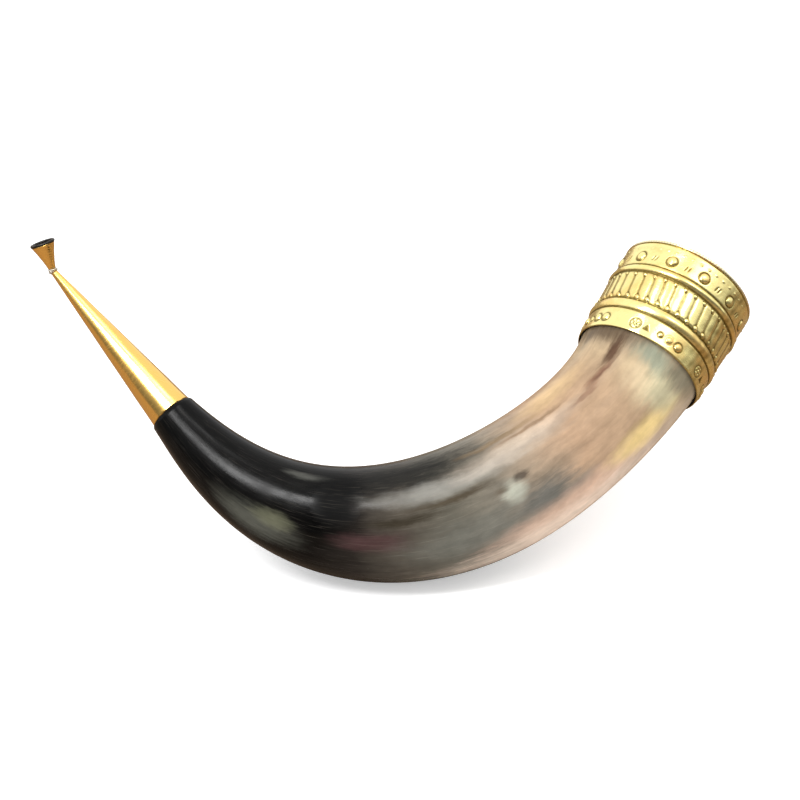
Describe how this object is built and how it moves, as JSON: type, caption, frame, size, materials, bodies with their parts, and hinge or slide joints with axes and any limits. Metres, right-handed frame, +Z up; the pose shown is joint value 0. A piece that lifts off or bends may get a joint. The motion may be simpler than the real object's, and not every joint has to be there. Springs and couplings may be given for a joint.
{
  "type": "blowing horn",
  "caption": "Curved hollow ox horn with an embossed brass collar round its bell and a long tapered brass mouthpiece with a canted cup.",
  "frame": {"origin": "centre of the box's floor: the horn stands on its belly, leaning back, with both ends raised", "axes": "+X from the mouthpiece to the bell, +Y the way the bend leans back, +Z up"},
  "size_m": [0.4658, 0.206, 0.179],
  "materials": {
    "horn": "polished ox horn, black at the tip, through streaked grey-brown to cream at the bell",
    "brass": "polished yellow brass sheet, embossed on the collar",
    "pitch": "dark bedding pitch",
    "cork": "natural cork",
    "solder": "dull grey soft solder",
    "dark_brass": "blackened brass lip ring"
  },
  "bodies": {
    "horn": {"horn_shell": "horn", "bell_collar": "brass", "bell_rim_ring": "brass", "collar_bedding": "pitch", "collar_nail_1": "brass", "collar_nail_2": "brass", "collar_nail_3": "brass", "collar_nail_4": "brass"},
    "mouthpiece": {"mouthpiece_cone": "brass", "tenon_tube": "brass", "tenon_cork": "cork", "neck_solder": "solder", "mouthpiece_cup": "brass", "lip_ring": "dark_brass"}
  },
  "joints": [
    {"name": "mouthpiece_pull", "type": "slide", "parent": "horn", "child": "mouthpiece", "axis": [-0.6455, 0.5111, 0.5676], "range_m": [0, 0.03]}
  ]
}
